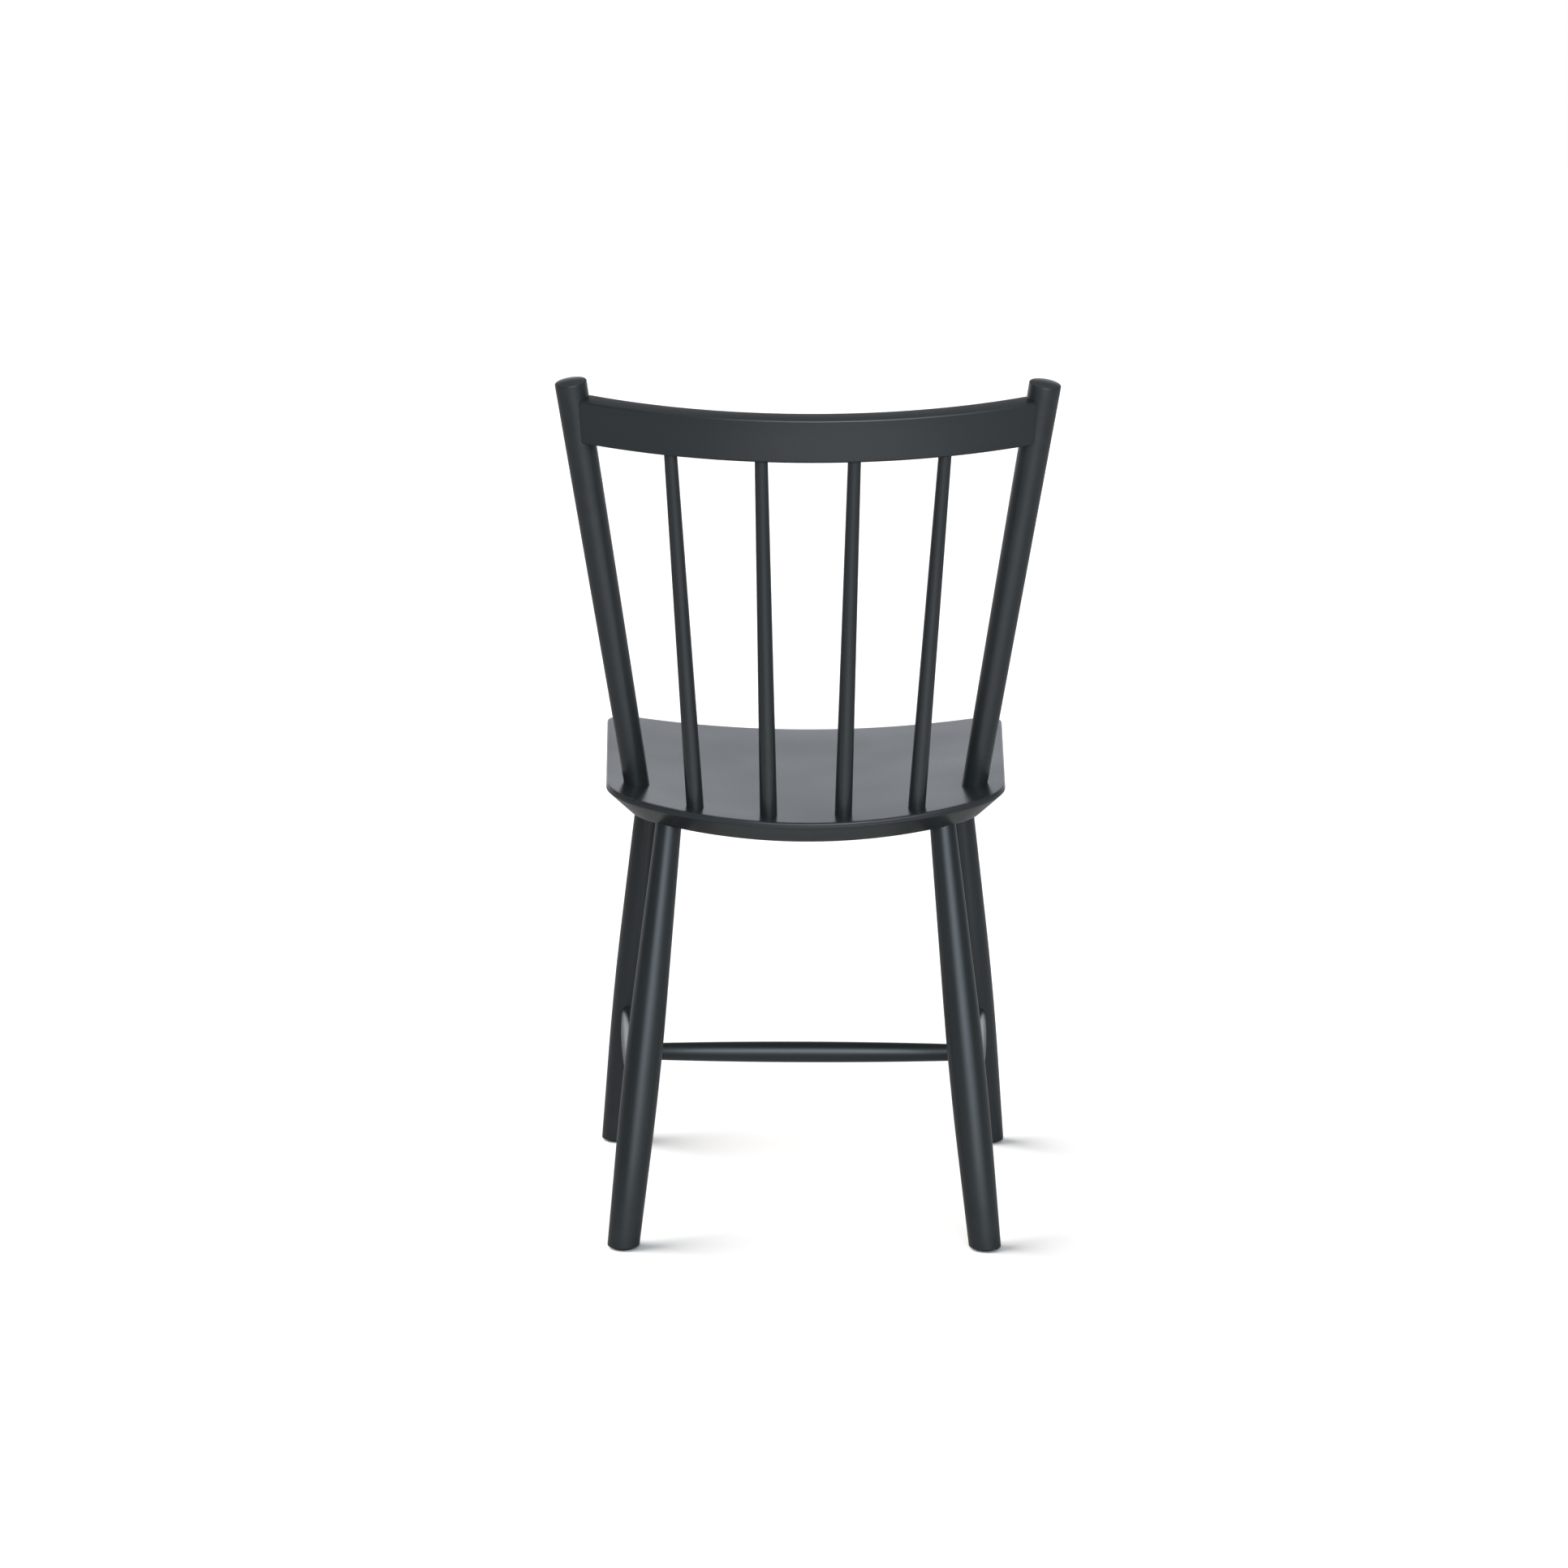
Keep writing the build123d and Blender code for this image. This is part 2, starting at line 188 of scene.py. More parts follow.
class StudioSettings(bpy.types.PropertyGroup):
    """Camera, lamps and backdrop"""

    lens: FloatProperty(name="Lens", description="Focal length", default=97.33, unit="CAMERA")
    camera: position("Camera", "Place of the camera", (0.0214, 4.1851, 1.2637))
    tilt: angle("Tilt", "How far the camera looks down", 11.294)
    roll: angle("Roll", "Turn about the line of sight", 0.2)
    ambient: brightness("Ambient", "Light from all round", 0.08)
    overhead: brightness("Overhead", "Light from above", 0.40)
    backdrop: brightness("Backdrop", "Light from beyond the chair", 1.50)
    backdrop_tint: colour("Backdrop tint", "Colour of the backdrop's light", (0.88, 0.925, 1.0))
    backdrop_turn: angle("Backdrop turn", "Place of the backdrop round the chair", 172)
    panel: brightness("Panel", "Light from the panel by the camera", 1.70)
    panel_tint: colour("Panel tint", "Colour of the panel's light", (0.80, 0.90, 1.0))
    panel_turn: angle("Panel turn", "Place of the panel round the chair", -13)
    softbox: brightness("Softbox", "Light from the lamp in the panel", 3.9)
    softbox_turn: angle("Softbox turn", "Place of the lamp round the chair", -10)
    softbox_lift: angle("Softbox lift", "Angle of the lamp above the floor", 26)
    floor_lamp: brightness("Floor lamp", "Light from the lamp for the floor", 4.0)
    floor_lamp_width: angle("Floor lamp width", "How wide that lamp looks from the floor", 52)
    floor: colour("Floor", "Colour of the floor", (0.875, 0.846, 0.817))
    floor_bounce: share("Floor bounce", "Brightness that the floor shows to the chair", 0.27)
    # Painted pool of light: a brighter patch of floor colour by the camera, seen only by the chair,
    # standing in for light falling there
    pool: share("Pool", "Brightness of the pool of light on the floor by the camera", 0.78)
    painted_pool_place: position("Pool place", "Middle of the pool of light", (-0.25, 1.5, 0))
    pool_size: position("Pool size", "Reach of the pool of light each way", (1.3, 1.3, 1))


# Bench work shared by the pieces
def deselect_all():
    """Leave edit mode and select nothing."""
    if bpy.context.object and bpy.context.object.mode == "EDIT":
        bpy.ops.object.mode_set(mode="OBJECT")
    bpy.ops.object.select_all(action="DESELECT")


def pick(piece):
    """Make one piece the only selected and active object."""
    deselect_all()
    bpy.context.view_layer.objects.active = piece
    piece.select_set(True)


def choose_edges(piece, test):
    """Select the edges of the piece on the bench that pass a test."""
    bpy.ops.mesh.select_mode(type="EDGE")
    bpy.ops.mesh.select_all(action="DESELECT")
    shape = bmesh.from_edit_mesh(piece.data)
    for edge in shape.edges:
        if test(edge):
            edge.select_set(True)
    shape.select_flush_mode()
    bmesh.update_edit_mesh(piece.data)


def arc(centre, radius, start, end, steps):
    """Points of an arc from one angle to another, both ends included."""
    turns = [start + (end - start) * step / steps for step in range(steps + 1)]
    return [(centre[0] + radius * cos(turn), centre[1] + radius * sin(turn)) for turn in turns]


def bow_radius(half_chord, rise):
    """Radius of the arc that rises by so much over the middle of its chord."""
    return (half_chord**2 + rise**2) / (2 * rise)


def blend(before, corner, after, radius, steps):
    """Points of the arc that rounds a corner between two straight runs."""
    corner = Vector(corner)
    back = (Vector(before) - corner).normalized()
    ahead = (Vector(after) - corner).normalized()
    half = acos(max(-1.0, min(1.0, back.dot(ahead)))) / 2
    centre = corner + (back + ahead).normalized() * radius / sin(half)
    first = corner + back * radius / tan(half) - centre
    last = corner + ahead * radius / tan(half) - centre
    start = atan2(first.y, first.x)
    sweep = (atan2(last.y, last.x) - start + pi) % (2 * pi) - pi
    return arc(centre, radius, start, start + sweep, steps)


def turn_blank(profile):
    """Turn a piece on the Z axis of the bench from a profile of radius and height, foot first."""
    sides = bpy.context.scene.chair_turnings.sides
    deselect_all()
    radius, height = profile[0]
    bpy.ops.mesh.primitive_circle_add(
        vertices=sides, radius=radius, fill_type="NGON", location=(0, 0, 0)
    )
    blank = bpy.context.object
    bpy.ops.object.mode_set(mode="EDIT")
    bpy.ops.mesh.select_all(action="SELECT")
    bpy.ops.transform.translate(value=(0, 0, height))
    for next_radius, next_height in profile[1:]:
        rise = (0, 0, next_height - height)
        bpy.ops.mesh.extrude_region_move(TRANSFORM_OT_translate={"value": rise})
        growth = next_radius / radius
        bpy.ops.transform.resize(value=(growth, growth, 1), center_override=(0, 0, next_height))
        radius, height = next_radius, next_height
    close_up()
    return blank


def close_up():
    """Merge the points that meet on the piece on the bench, turn its faces outwards and stop editing."""
    bpy.ops.mesh.select_all(action="SELECT")
    bpy.ops.mesh.remove_doubles(threshold=SAME_POINT)
    bpy.ops.mesh.normals_make_consistent(inside=False)
    bpy.ops.object.mode_set(mode="OBJECT")


def copy_blank(blank, nodes):
    """Use a blank for the first of its like nodes, and a copy with its own mesh for each other one."""
    pieces = [blank]
    for _ in nodes[1:]:
        copy = blank.copy()
        copy.data = blank.data.copy()
        bpy.context.collection.objects.link(copy)
        pieces.append(copy)
    for piece, node in zip(pieces, nodes):
        piece.name = f"turned_{node}"
    return pieces


def fit_turnings(blank, nodes, flat_end, closeness=lambda point: 0.0):
    """Make the turned pieces of like nodes from one blank, fit them and hand them over."""
    for piece, node in zip(copy_blank(blank, nodes), nodes):
        start, direction, _ = turning_axis(node, flat_end)
        keep_grain(piece, Vector)
        keep_edges(piece, closeness)
        fit(piece, along_axis(start, direction))
        hand_over(piece, node)


def keep_grain(piece, along):
    """Keep each point's place on the bench, with the grain along Z, for the lacquer to follow."""
    number = sum(ord(letter) for letter in piece.name)
    shift = Vector([number * step % 1 for step in GRAIN_STEPS])
    grain = piece.data.attributes.new("grain", "FLOAT_VECTOR", "POINT")
    for vertex, point in zip(piece.data.vertices, grain.data):
        point.vector = along(vertex.co) + shift


def keep_edges(piece, closeness):
    """Keep how close each point lies to an edge that hands and feet rub."""
    edge = piece.data.attributes.new("edge", "FLOAT", "POINT")
    for vertex, point in zip(piece.data.vertices, edge.data):
        point.value = closeness(vertex.co)


def fit(piece, place):
    """Move a piece from the bench to its place on the chair."""
    pick(piece)
    piece.matrix_world = place
    bpy.ops.object.transform_apply(location=True, rotation=True, scale=True)


def hand_over(piece, node):
    """Smooth and lacquer a finished wooden piece and let it stand for its node."""
    pick(piece)
    bpy.ops.object.shade_smooth_by_angle(angle=CRISP_EDGE)
    piece.data.materials.clear()
    piece.data.materials.append(lacquer())
    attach(piece, BODY)
    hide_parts(node)


def turning_axis(node, flat_end):
    """Middle of the flat end of a turned node, the direction from it along the node, and the length."""
    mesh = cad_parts[node].data
    cap = max(mesh.polygons, key=lambda face: face.center.dot(flat_end))
    inward = -cap.normal
    points = {tuple(round(part, 6) for part in vertex.co): vertex.co for vertex in mesh.vertices}
    reach = {point: place.dot(inward) for point, place in points.items()}
    start, end = min(reach.values()), max(reach.values())
    ring = [Vector(point) for point, far in reach.items() if far < start + SAME_LEVEL]
    return sum(ring, Vector()) / len(ring), inward, end - start


def along_axis(start, direction):
    """Matrix that lays the bench's Z axis along a direction from a point."""
    return Matrix.Translation(start) @ direction.to_track_quat("Z", "Y").to_matrix().to_4x4()


# Finishes
class Tree:
    """Node tree of a material or world that is filled node by node."""

    column_width, row_height, row_length = 240, 260, 8

    def __init__(self, owner):
        owner.use_nodes = True
        self.nodes = owner.node_tree.nodes
        self.links = owner.node_tree.links
        self.nodes.clear()

    def add(self, kind, inputs=None, **settings):
        """Add a node, set its options and fill its sockets with values or other nodes' outputs."""
        row, column = divmod(len(self.nodes), self.row_length)
        node = self.nodes.new(f"ShaderNode{kind}")
        node.location = (self.column_width * column, -self.row_height * row)
        for name, value in settings.items():
            setattr(node, name, value)
        for name, value in (inputs or {}).items():
            if isinstance(value, bpy.types.NodeSocket):
                self.links.new(value, node.inputs[name])
            else:
                node.inputs[name].default_value = value
        return node

    def math(self, operation, *values):
        """Result of an operation on numbers."""
        return self.add("Math", dict(enumerate(values)), operation=operation).outputs["Value"]

    def vector(self, operation, *values):
        """Result of an operation on vectors."""
        node = self.add("VectorMath", dict(enumerate(values)), operation=operation)
        return node.outputs["Value" if operation in {"DOT_PRODUCT", "LENGTH"} else "Vector"]

    def ramp(self, value, start, end, low=0.0, high=1.0, kind="SMOOTHSTEP"):
        """Number that goes from low to high while a value goes from start to end."""
        inputs = {"Value": value, "From Min": start, "From Max": end, "To Min": low, "To Max": high}
        return self.add("MapRange", inputs, interpolation_type=kind).outputs["Result"]

    def mix(self, factor, first, second):
        """Colour between two colours."""
        inputs = {"Factor": factor, "A": first, "B": second}
        return self.add("Mix", inputs, data_type="RGBA").outputs["Result"]

    def noise(self, place, scale, detail):
        """Noise, its scale the same all ways or given for each direction."""
        if isinstance(scale, tuple):
            place = self.add("Mapping", {"Vector": place, "Scale": scale}).outputs["Vector"]
            scale = 1.0
        inputs = {"Vector": place, "Scale": scale, "Detail": detail}
        return self.add("TexNoise", inputs).outputs["Fac"]

    def bump(self, height, strength, distance, **below):
        """Normal of a relief, laid over the one below it where that is given."""
        inputs = {"Height": height, "Strength": strength, "Distance": distance, **below}
        return self.add("Bump", inputs).outputs["Normal"]


# Patterns in the lacquer: scale, twice across and once along the grain where it differs, and detail
FIBRE = (520, 520, 14), 4.0
FIGURE = (34, 34, 2.2), 3.0
DRIFT = 7.0, 2.0
SKIN = 420.0, 2.0
RUB = 60.0, 5.0
# Stretches of the patterns over which the tone, the wear and the gloss change
TONE_STRETCH = (0.12, 0.40)
WEAR_STRETCH = (0.42, 0.75)
GLOSS_STRETCH = (0.33, 0.73)
FIBRE_DULLNESS = 0.06  # share of the fibre in how dull the lacquer is
PORE_DEPTH = 0.0004
SKIN_DEPTH = 0.0006
LACQUER_IOR = 1.5


def lacquer():
    """Satin lacquer on wood: drifting tone, rubbed edges, pores along the grain, a sprayed skin."""
    material = bpy.data.materials.get("satin_lacquer")
    if material:
        return material
    material = bpy.data.materials.new("satin_lacquer")
    finish = bpy.context.scene.chair_finish
    tree = Tree(material)
    grain = tree.add("Attribute", attribute_name="grain").outputs["Vector"]
    edge = tree.add("Attribute", attribute_name="edge").outputs["Fac"]
    fibre = tree.noise(grain, *FIBRE)
    figure = tree.noise(grain, *FIGURE)
    drift = tree.noise(grain, *DRIFT)
    skin = tree.noise(grain, *SKIN)
    rub = tree.noise(grain, *RUB)
    tone = tree.ramp(tree.math("MULTIPLY", drift, figure), *TONE_STRETCH)
    tint = tree.mix(tone, (*finish.lacquer, 1), (*finish.lacquer_shift, 1))
    worn = tree.ramp(rub, *WEAR_STRETCH, high=finish.wear, kind="LINEAR")
    worn = tree.math("MULTIPLY", worn, edge)
    dull = tree.math("MULTIPLY_ADD", fibre, FIBRE_DULLNESS, drift)
    dull = tree.ramp(dull, *GLOSS_STRETCH, finish.gloss_low, finish.gloss_high, "LINEAR")
    pores = tree.bump(fibre, finish.grain, PORE_DEPTH)
    shader = tree.add(
        "BsdfPrincipled",
        {
            "Base Color": tree.mix(worn, tint, (*finish.worn, 1)),
            "Roughness": dull,
            "IOR": LACQUER_IOR,
            "Normal": tree.bump(skin, finish.peel, SKIN_DEPTH, Normal=pores),
        },
    )
    tree.add("OutputMaterial", {"Surface": shader.outputs["BSDF"]})
    return material


MOTTLE_DETAIL = 4.0
MOTTLE_TINT = 1.35  # lightest part of a mottled tint against the tint itself
MOTTLE_GLOSS = 0.08  # roughness gained and lost with the mottle
MOTTLE_RELIEF = 0.15
MOTTLE_DEPTH = 0.0003


def fine_grain_finish(name, tint, metallic, roughness, scale):
    """Finish of a small part: a mottled tint with a fine moulded or drawn texture."""
    material = bpy.data.materials.new(name)
    tree = Tree(material)
    mottle = tree.noise(tree.add("TexCoord").outputs["Object"], scale, MOTTLE_DETAIL)
    light = tuple(min(1.0, part * MOTTLE_TINT) for part in tint)
    smooth, rough = roughness - MOTTLE_GLOSS, roughness + MOTTLE_GLOSS
    dull = tree.ramp(mottle, 0.0, 1.0, smooth, rough, "LINEAR")
    shader = tree.add(
        "BsdfPrincipled",
        {
            "Base Color": tree.mix(mottle, (*tint, 1), (*light, 1)),
            "Roughness": dull,
            "Metallic": metallic,
            "Normal": tree.bump(mottle, MOTTLE_RELIEF, MOTTLE_DEPTH),
        },
    )
    tree.add("OutputMaterial", {"Surface": shader.outputs["BSDF"]})
    return material


class CHAIR_OT_turn_legs(bpy.types.Operator):
    """Turn the legs, cut their soles level and round them"""

    bl_idname = "chair.turn_legs"
    bl_label = "Turn Legs"
    blend_steps = 24
    sole_segments = 4
    rubbed_height = 0.004

    def execute(self, context):
        sizes = context.scene.chair_turnings
        for end in ("front", "rear"):
            nodes = [f"{end}_{side}_leg" for side in SIDES]
            head, down, _ = turning_axis(nodes[0], UP)
            blank = turn_blank(self.profile(sizes, head.z / -down.z))
            for leg, node in zip(copy_blank(blank, nodes), nodes):
                self.stand(sizes, leg, node)
        return {"FINISHED"}

    def stand(self, sizes, leg, node):
        """Stand a leg in its place, cut its sole level with its node's and round it."""
        head, down, _ = turning_axis(node, UP)
        floor_point = head - down * (head.z / down.z)
        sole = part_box(node)[0].z
        keep_grain(leg, Vector)
        fit(leg, along_axis(floor_point, -down))
        bpy.ops.object.mode_set(mode="EDIT")
        bpy.ops.mesh.select_all(action="SELECT")
        bpy.ops.mesh.bisect(
            plane_co=(0, 0, sole), plane_no=(0, 0, 1), clear_inner=True, use_fill=True
        )
        choose_edges(leg, lambda edge: all(abs(v.co.z - sole) < SAME_POINT for v in edge.verts))
        bpy.ops.mesh.bevel(
            offset=sizes.foot_rounding, segments=self.sole_segments, affect="EDGES"
        )
        bpy.ops.object.mode_set(mode="OBJECT")
        keep_edges(leg, lambda point: max(0.0, 1 - (point.z - sole) / self.rubbed_height))
        hand_over(leg, node)

    def profile(self, sizes, run):
        """Two tapers run together in a swell, from under the floor to the parallel neck."""
        overrun = sizes.leg_foot / 2
        taper = (sizes.leg_swell - sizes.leg_foot) / 2 / sizes.leg_swell_height
        below = (sizes.leg_foot / 2 - taper * overrun, -overrun)
        swell = (sizes.leg_swell / 2, sizes.leg_swell_height)
        neck = (sizes.leg_head / 2, run - sizes.leg_neck)
        rounded = blend(below, swell, neck, sizes.leg_swell_blend, self.blend_steps)
        return [below, *rounded, neck, (sizes.leg_head / 2, run)]


class CHAIR_OT_turn_stretchers(bpy.types.Operator):
    """Turn the two side stretchers and the cross stretcher"""

    bl_idname = "chair.turn_stretchers"
    bl_label = "Turn Stretchers"
    swell_steps = 40

    def execute(self, context):
        sizes = context.scene.chair_turnings
        sides = [f"{side}_side_stretcher" for side in SIDES]
        for nodes, flat_end, middle, neck in (
            (sides, FRONT, sizes.side_stretcher, sizes.stretcher_neck),
            (["cross_stretcher"], LEFT, sizes.cross_stretcher, sizes.cross_neck),
        ):
            run = turning_axis(nodes[0], flat_end)[-1]
            blank = turn_blank(self.profile(sizes.stretcher_end / 2, middle / 2, run, neck))
            fit_turnings(blank, nodes, flat_end)
        return {"FINISHED"}

    def profile(self, end_radius, middle_radius, run, neck):
        """One arc that swells between the parallel ends."""
        half = run / 2 - neck
        radius = bow_radius(half, middle_radius - end_radius)
        lean = asin(half / radius)
        swell = arc((middle_radius - radius, run / 2), radius, -lean, lean, self.swell_steps)
        return [(end_radius, 0), *swell, (end_radius, run)]


class CHAIR_OT_turn_posts(bpy.types.Operator):
    """Turn the two back posts with their domed tops"""

    bl_idname = "chair.turn_posts"
    bl_label = "Turn Back Posts"
    rim_steps = 6
    dome_steps = 10
    rubbed_height = 0.003

    def execute(self, context):
        sizes = context.scene.chair_turnings
        nodes = [f"{side}_back_post" for side in SIDES]
        run = turning_axis(nodes[0], -UP)[-1]
        rim = run - sizes.post_dome

        def closeness(point):
            """How near a point on the bench is to the rim."""
            return max(0.0, 1 - abs(point.z - rim) / self.rubbed_height)

        fit_turnings(turn_blank(self.profile(sizes, run)), nodes, -UP, closeness)
        return {"FINISHED"}

    def profile(self, sizes, run):
        """Straight foot, one taper, a rounded rim and a shallow dome."""
        foot = (sizes.post_foot / 2, sizes.post_neck)
        rim = (sizes.post_top / 2, run - sizes.post_dome)
        radius = bow_radius(rim[0], sizes.post_dome)
        slope = asin(rim[0] / radius)
        inside = (rim[0] - cos(slope), rim[1] + sin(slope))
        rounding = blend(foot, rim, inside, sizes.post_rim, self.rim_steps)
        start = acos(rounding[-1][0] / radius)
        dome = arc((0, run - radius), radius, start, pi / 2, self.dome_steps)
        return [(foot[0], 0), foot, *rounding, *dome[1:]]


class CHAIR_OT_turn_spindles(bpy.types.Operator):
    """Turn the spindles of the back"""

    bl_idname = "chair.turn_spindles"
    bl_label = "Turn Spindles"

    def execute(self, context):
        sizes = context.scene.chair_turnings
        foot, top = sizes.spindle_foot / 2, sizes.spindle_top / 2
        for pair in ("outer", "inner"):
            nodes = [f"{pair}_{side}_spindle" for side in SIDES]
            run = turning_axis(nodes[0], -UP)[-1]
            taper = (foot, sizes.spindle_foot_neck), (top, run - sizes.spindle_top_neck)
            fit_turnings(turn_blank([(foot, 0), *taper, (top, run)]), nodes, -UP)
        return {"FINISHED"}


class RailBow:
    """Curve of the crest rail on the bench, an arc behind the line from post to post."""

    def __init__(self, half_span, bow):
        self.radius = bow_radius(half_span, bow)
        self.centre_y = bow - self.radius
        self.end_turn = asin(half_span / self.radius)

    def bend(self, out, up, turn):
        """Point of the bent bar at a turn from its middle, by its place on the bar's section."""
        reach = self.radius + out
        return Vector((reach * sin(turn), reach * cos(turn) + self.centre_y, up))

    def unbend(self, point):
        """Place of a point on the straight bar: through the thickness, up, and along the grain."""
        back = point.y - self.centre_y
        out = hypot(point.x, back) - self.radius
        return Vector((out, point.z, self.radius * atan2(point.x, back)))


class CHAIR_OT_bend_crest_rail(bpy.types.Operator):
    """Bend the crest rail from a rounded bar and cope its ends to the posts"""

    bl_idname = "chair.bend_crest_rail"
    bl_label = "Bend Crest Rail"
    stub = 0.026  # length at each end that is left for the cope
    bend_steps = 48
    rounding_segments = 8
    easing_steps = 5
    search_rounds = 40

    def execute(self, context):
        sizes, posts = context.scene.chair_rail, context.scene.chair_turnings
        start, lean, run = turning_axis("left_back_post", -UP)
        end = start + lean * ((sizes.middle_height - start.z) / lean.z)
        rise = Vector((0, lean.y, lean.z)).normalized()
        axes = Matrix((LEFT, rise.cross(LEFT), rise)).transposed().to_4x4()
        place = Matrix.Translation((0, end.y, end.z)) @ axes
        foot = place.inverted() @ start
        along = place.inverted().to_3x3() @ lean
        growth = (posts.post_top - posts.post_foot) / 2 / (run - posts.post_dome - posts.post_neck)

        def clearance(point):
            """Distance of a point from the surface of the left post."""
            height = (point - foot).dot(along)
            post_radius = posts.post_foot / 2 + growth * (height - posts.post_neck)
            return (point - foot - along * height).length - post_radius

        bow = RailBow(end.x, sizes.bow)
        rail = self.bend(sizes, bow)
        self.cope(rail, sizes, bow, clearance)
        self.mirror(rail)
        keep_grain(rail, bow.unbend)
        keep_edges(rail, lambda point: self.closeness(bow.unbend(point), sizes))
        fit(rail, place)
        hand_over(rail, "crest_rail")
        return {"FINISHED"}

    def bend(self, sizes, bow):
        """Draw the section in the middle of the bow and spin it nearly to the left post."""
        deselect_all()
        bpy.ops.mesh.primitive_plane_add(size=1, rotation=(0, pi / 2, 0))
        rail = bpy.context.object
        rail.name = "bent_crest_rail"
        bpy.ops.object.transform_apply(location=True, rotation=True, scale=True)
        bpy.ops.object.mode_set(mode="EDIT")
        bpy.ops.mesh.select_mode(type="VERT")
        bpy.ops.mesh.select_all(action="SELECT")
        bpy.ops.transform.resize(value=(1, sizes.thickness, sizes.height))
        bpy.ops.transform.translate(value=(0, sizes.bow, 0))
        bpy.ops.mesh.bevel(
            offset=sizes.rounding, segments=self.rounding_segments, affect="VERTICES"
        )
        bpy.ops.mesh.select_all(action="SELECT")
        bpy.ops.mesh.delete(type="ONLY_FACE")
        bpy.ops.mesh.select_all(action="SELECT")
        bpy.ops.mesh.spin(
            steps=self.bend_steps,
            angle=bow.end_turn - self.stub / bow.radius,
            center=(0, bow.centre_y, 0),
            axis=(0, 0, 1),
        )
        return rail

    def cope(self, rail, sizes, bow, clearance):
        """Carry the open end of the bar on to the post in an eased edge."""
        easing = sizes.end_easing
        turns = [step * pi / 2 / self.easing_steps for step in range(self.easing_steps + 1)]
        stations = [(easing * (1 - sin(turn)), easing * (1 - cos(turn))) for turn in turns]
        section = None
        for gap, shrink in [*stations, (-2 * easing, easing)]:
            bpy.ops.mesh.extrude_region_move()
            shape = bmesh.from_edit_mesh(rail.data)
            ring = [vertex for vertex in shape.verts if vertex.select]
            if section is None:
                section = placed = [bow.unbend(vertex.co).xy for vertex in ring]
            shrunk = [point - self.outward(point, sizes) * shrink for point in section]
            for vertex in ring:
                now = bow.unbend(vertex.co).xy
                number = min(range(len(placed)), key=lambda index: (placed[index] - now).length_squared)
                vertex.co = self.meet(shrunk[number], gap, bow, clearance)
            placed = shrunk
            bmesh.update_edit_mesh(rail.data)
        bpy.ops.mesh.edge_face_add()
        bpy.ops.object.mode_set(mode="OBJECT")

    def outward(self, point, sizes):
        """Outward normal of the bar's section."""
        flat = Vector((sizes.thickness / 2, sizes.height / 2)) - Vector((1, 1)) * sizes.rounding
        beyond = Vector((max(0.0, abs(point.x) - flat.x), max(0.0, abs(point.y) - flat.y)))
        beyond.normalize()
        return Vector((
            beyond.x if point.x > 0 else -beyond.x,
            beyond.y if point.y > 0 else -beyond.y,
        ))

    def meet(self, offset, gap, bow, clearance):
        """Point where a line along the bar comes within a gap of the post."""
        near, far = bow.end_turn - self.stub / bow.radius, bow.end_turn
        for _ in range(self.search_rounds):
            middle = (near + far) / 2
            point = bow.bend(*offset, middle)
            if clearance(point) > gap:
                near = middle
            else:
                far = middle
        return point

    def mirror(self, rail):
        """Make the right half of the rail from the left one."""
        pick(rail)
        mirror = rail.modifiers.new("other_half", "MIRROR")
        mirror.merge_threshold = SAME_POINT
        bpy.ops.object.modifier_apply(modifier=mirror.name)
        bpy.ops.object.mode_set(mode="EDIT")
        close_up()

    def closeness(self, place, sizes):
        """How near a point of the straight bar is to one of its long edges."""
        inside = max(sizes.thickness / 2 - abs(place.x), sizes.height / 2 - abs(place.y))
        return max(0.0, 1 - inside / sizes.rounding)


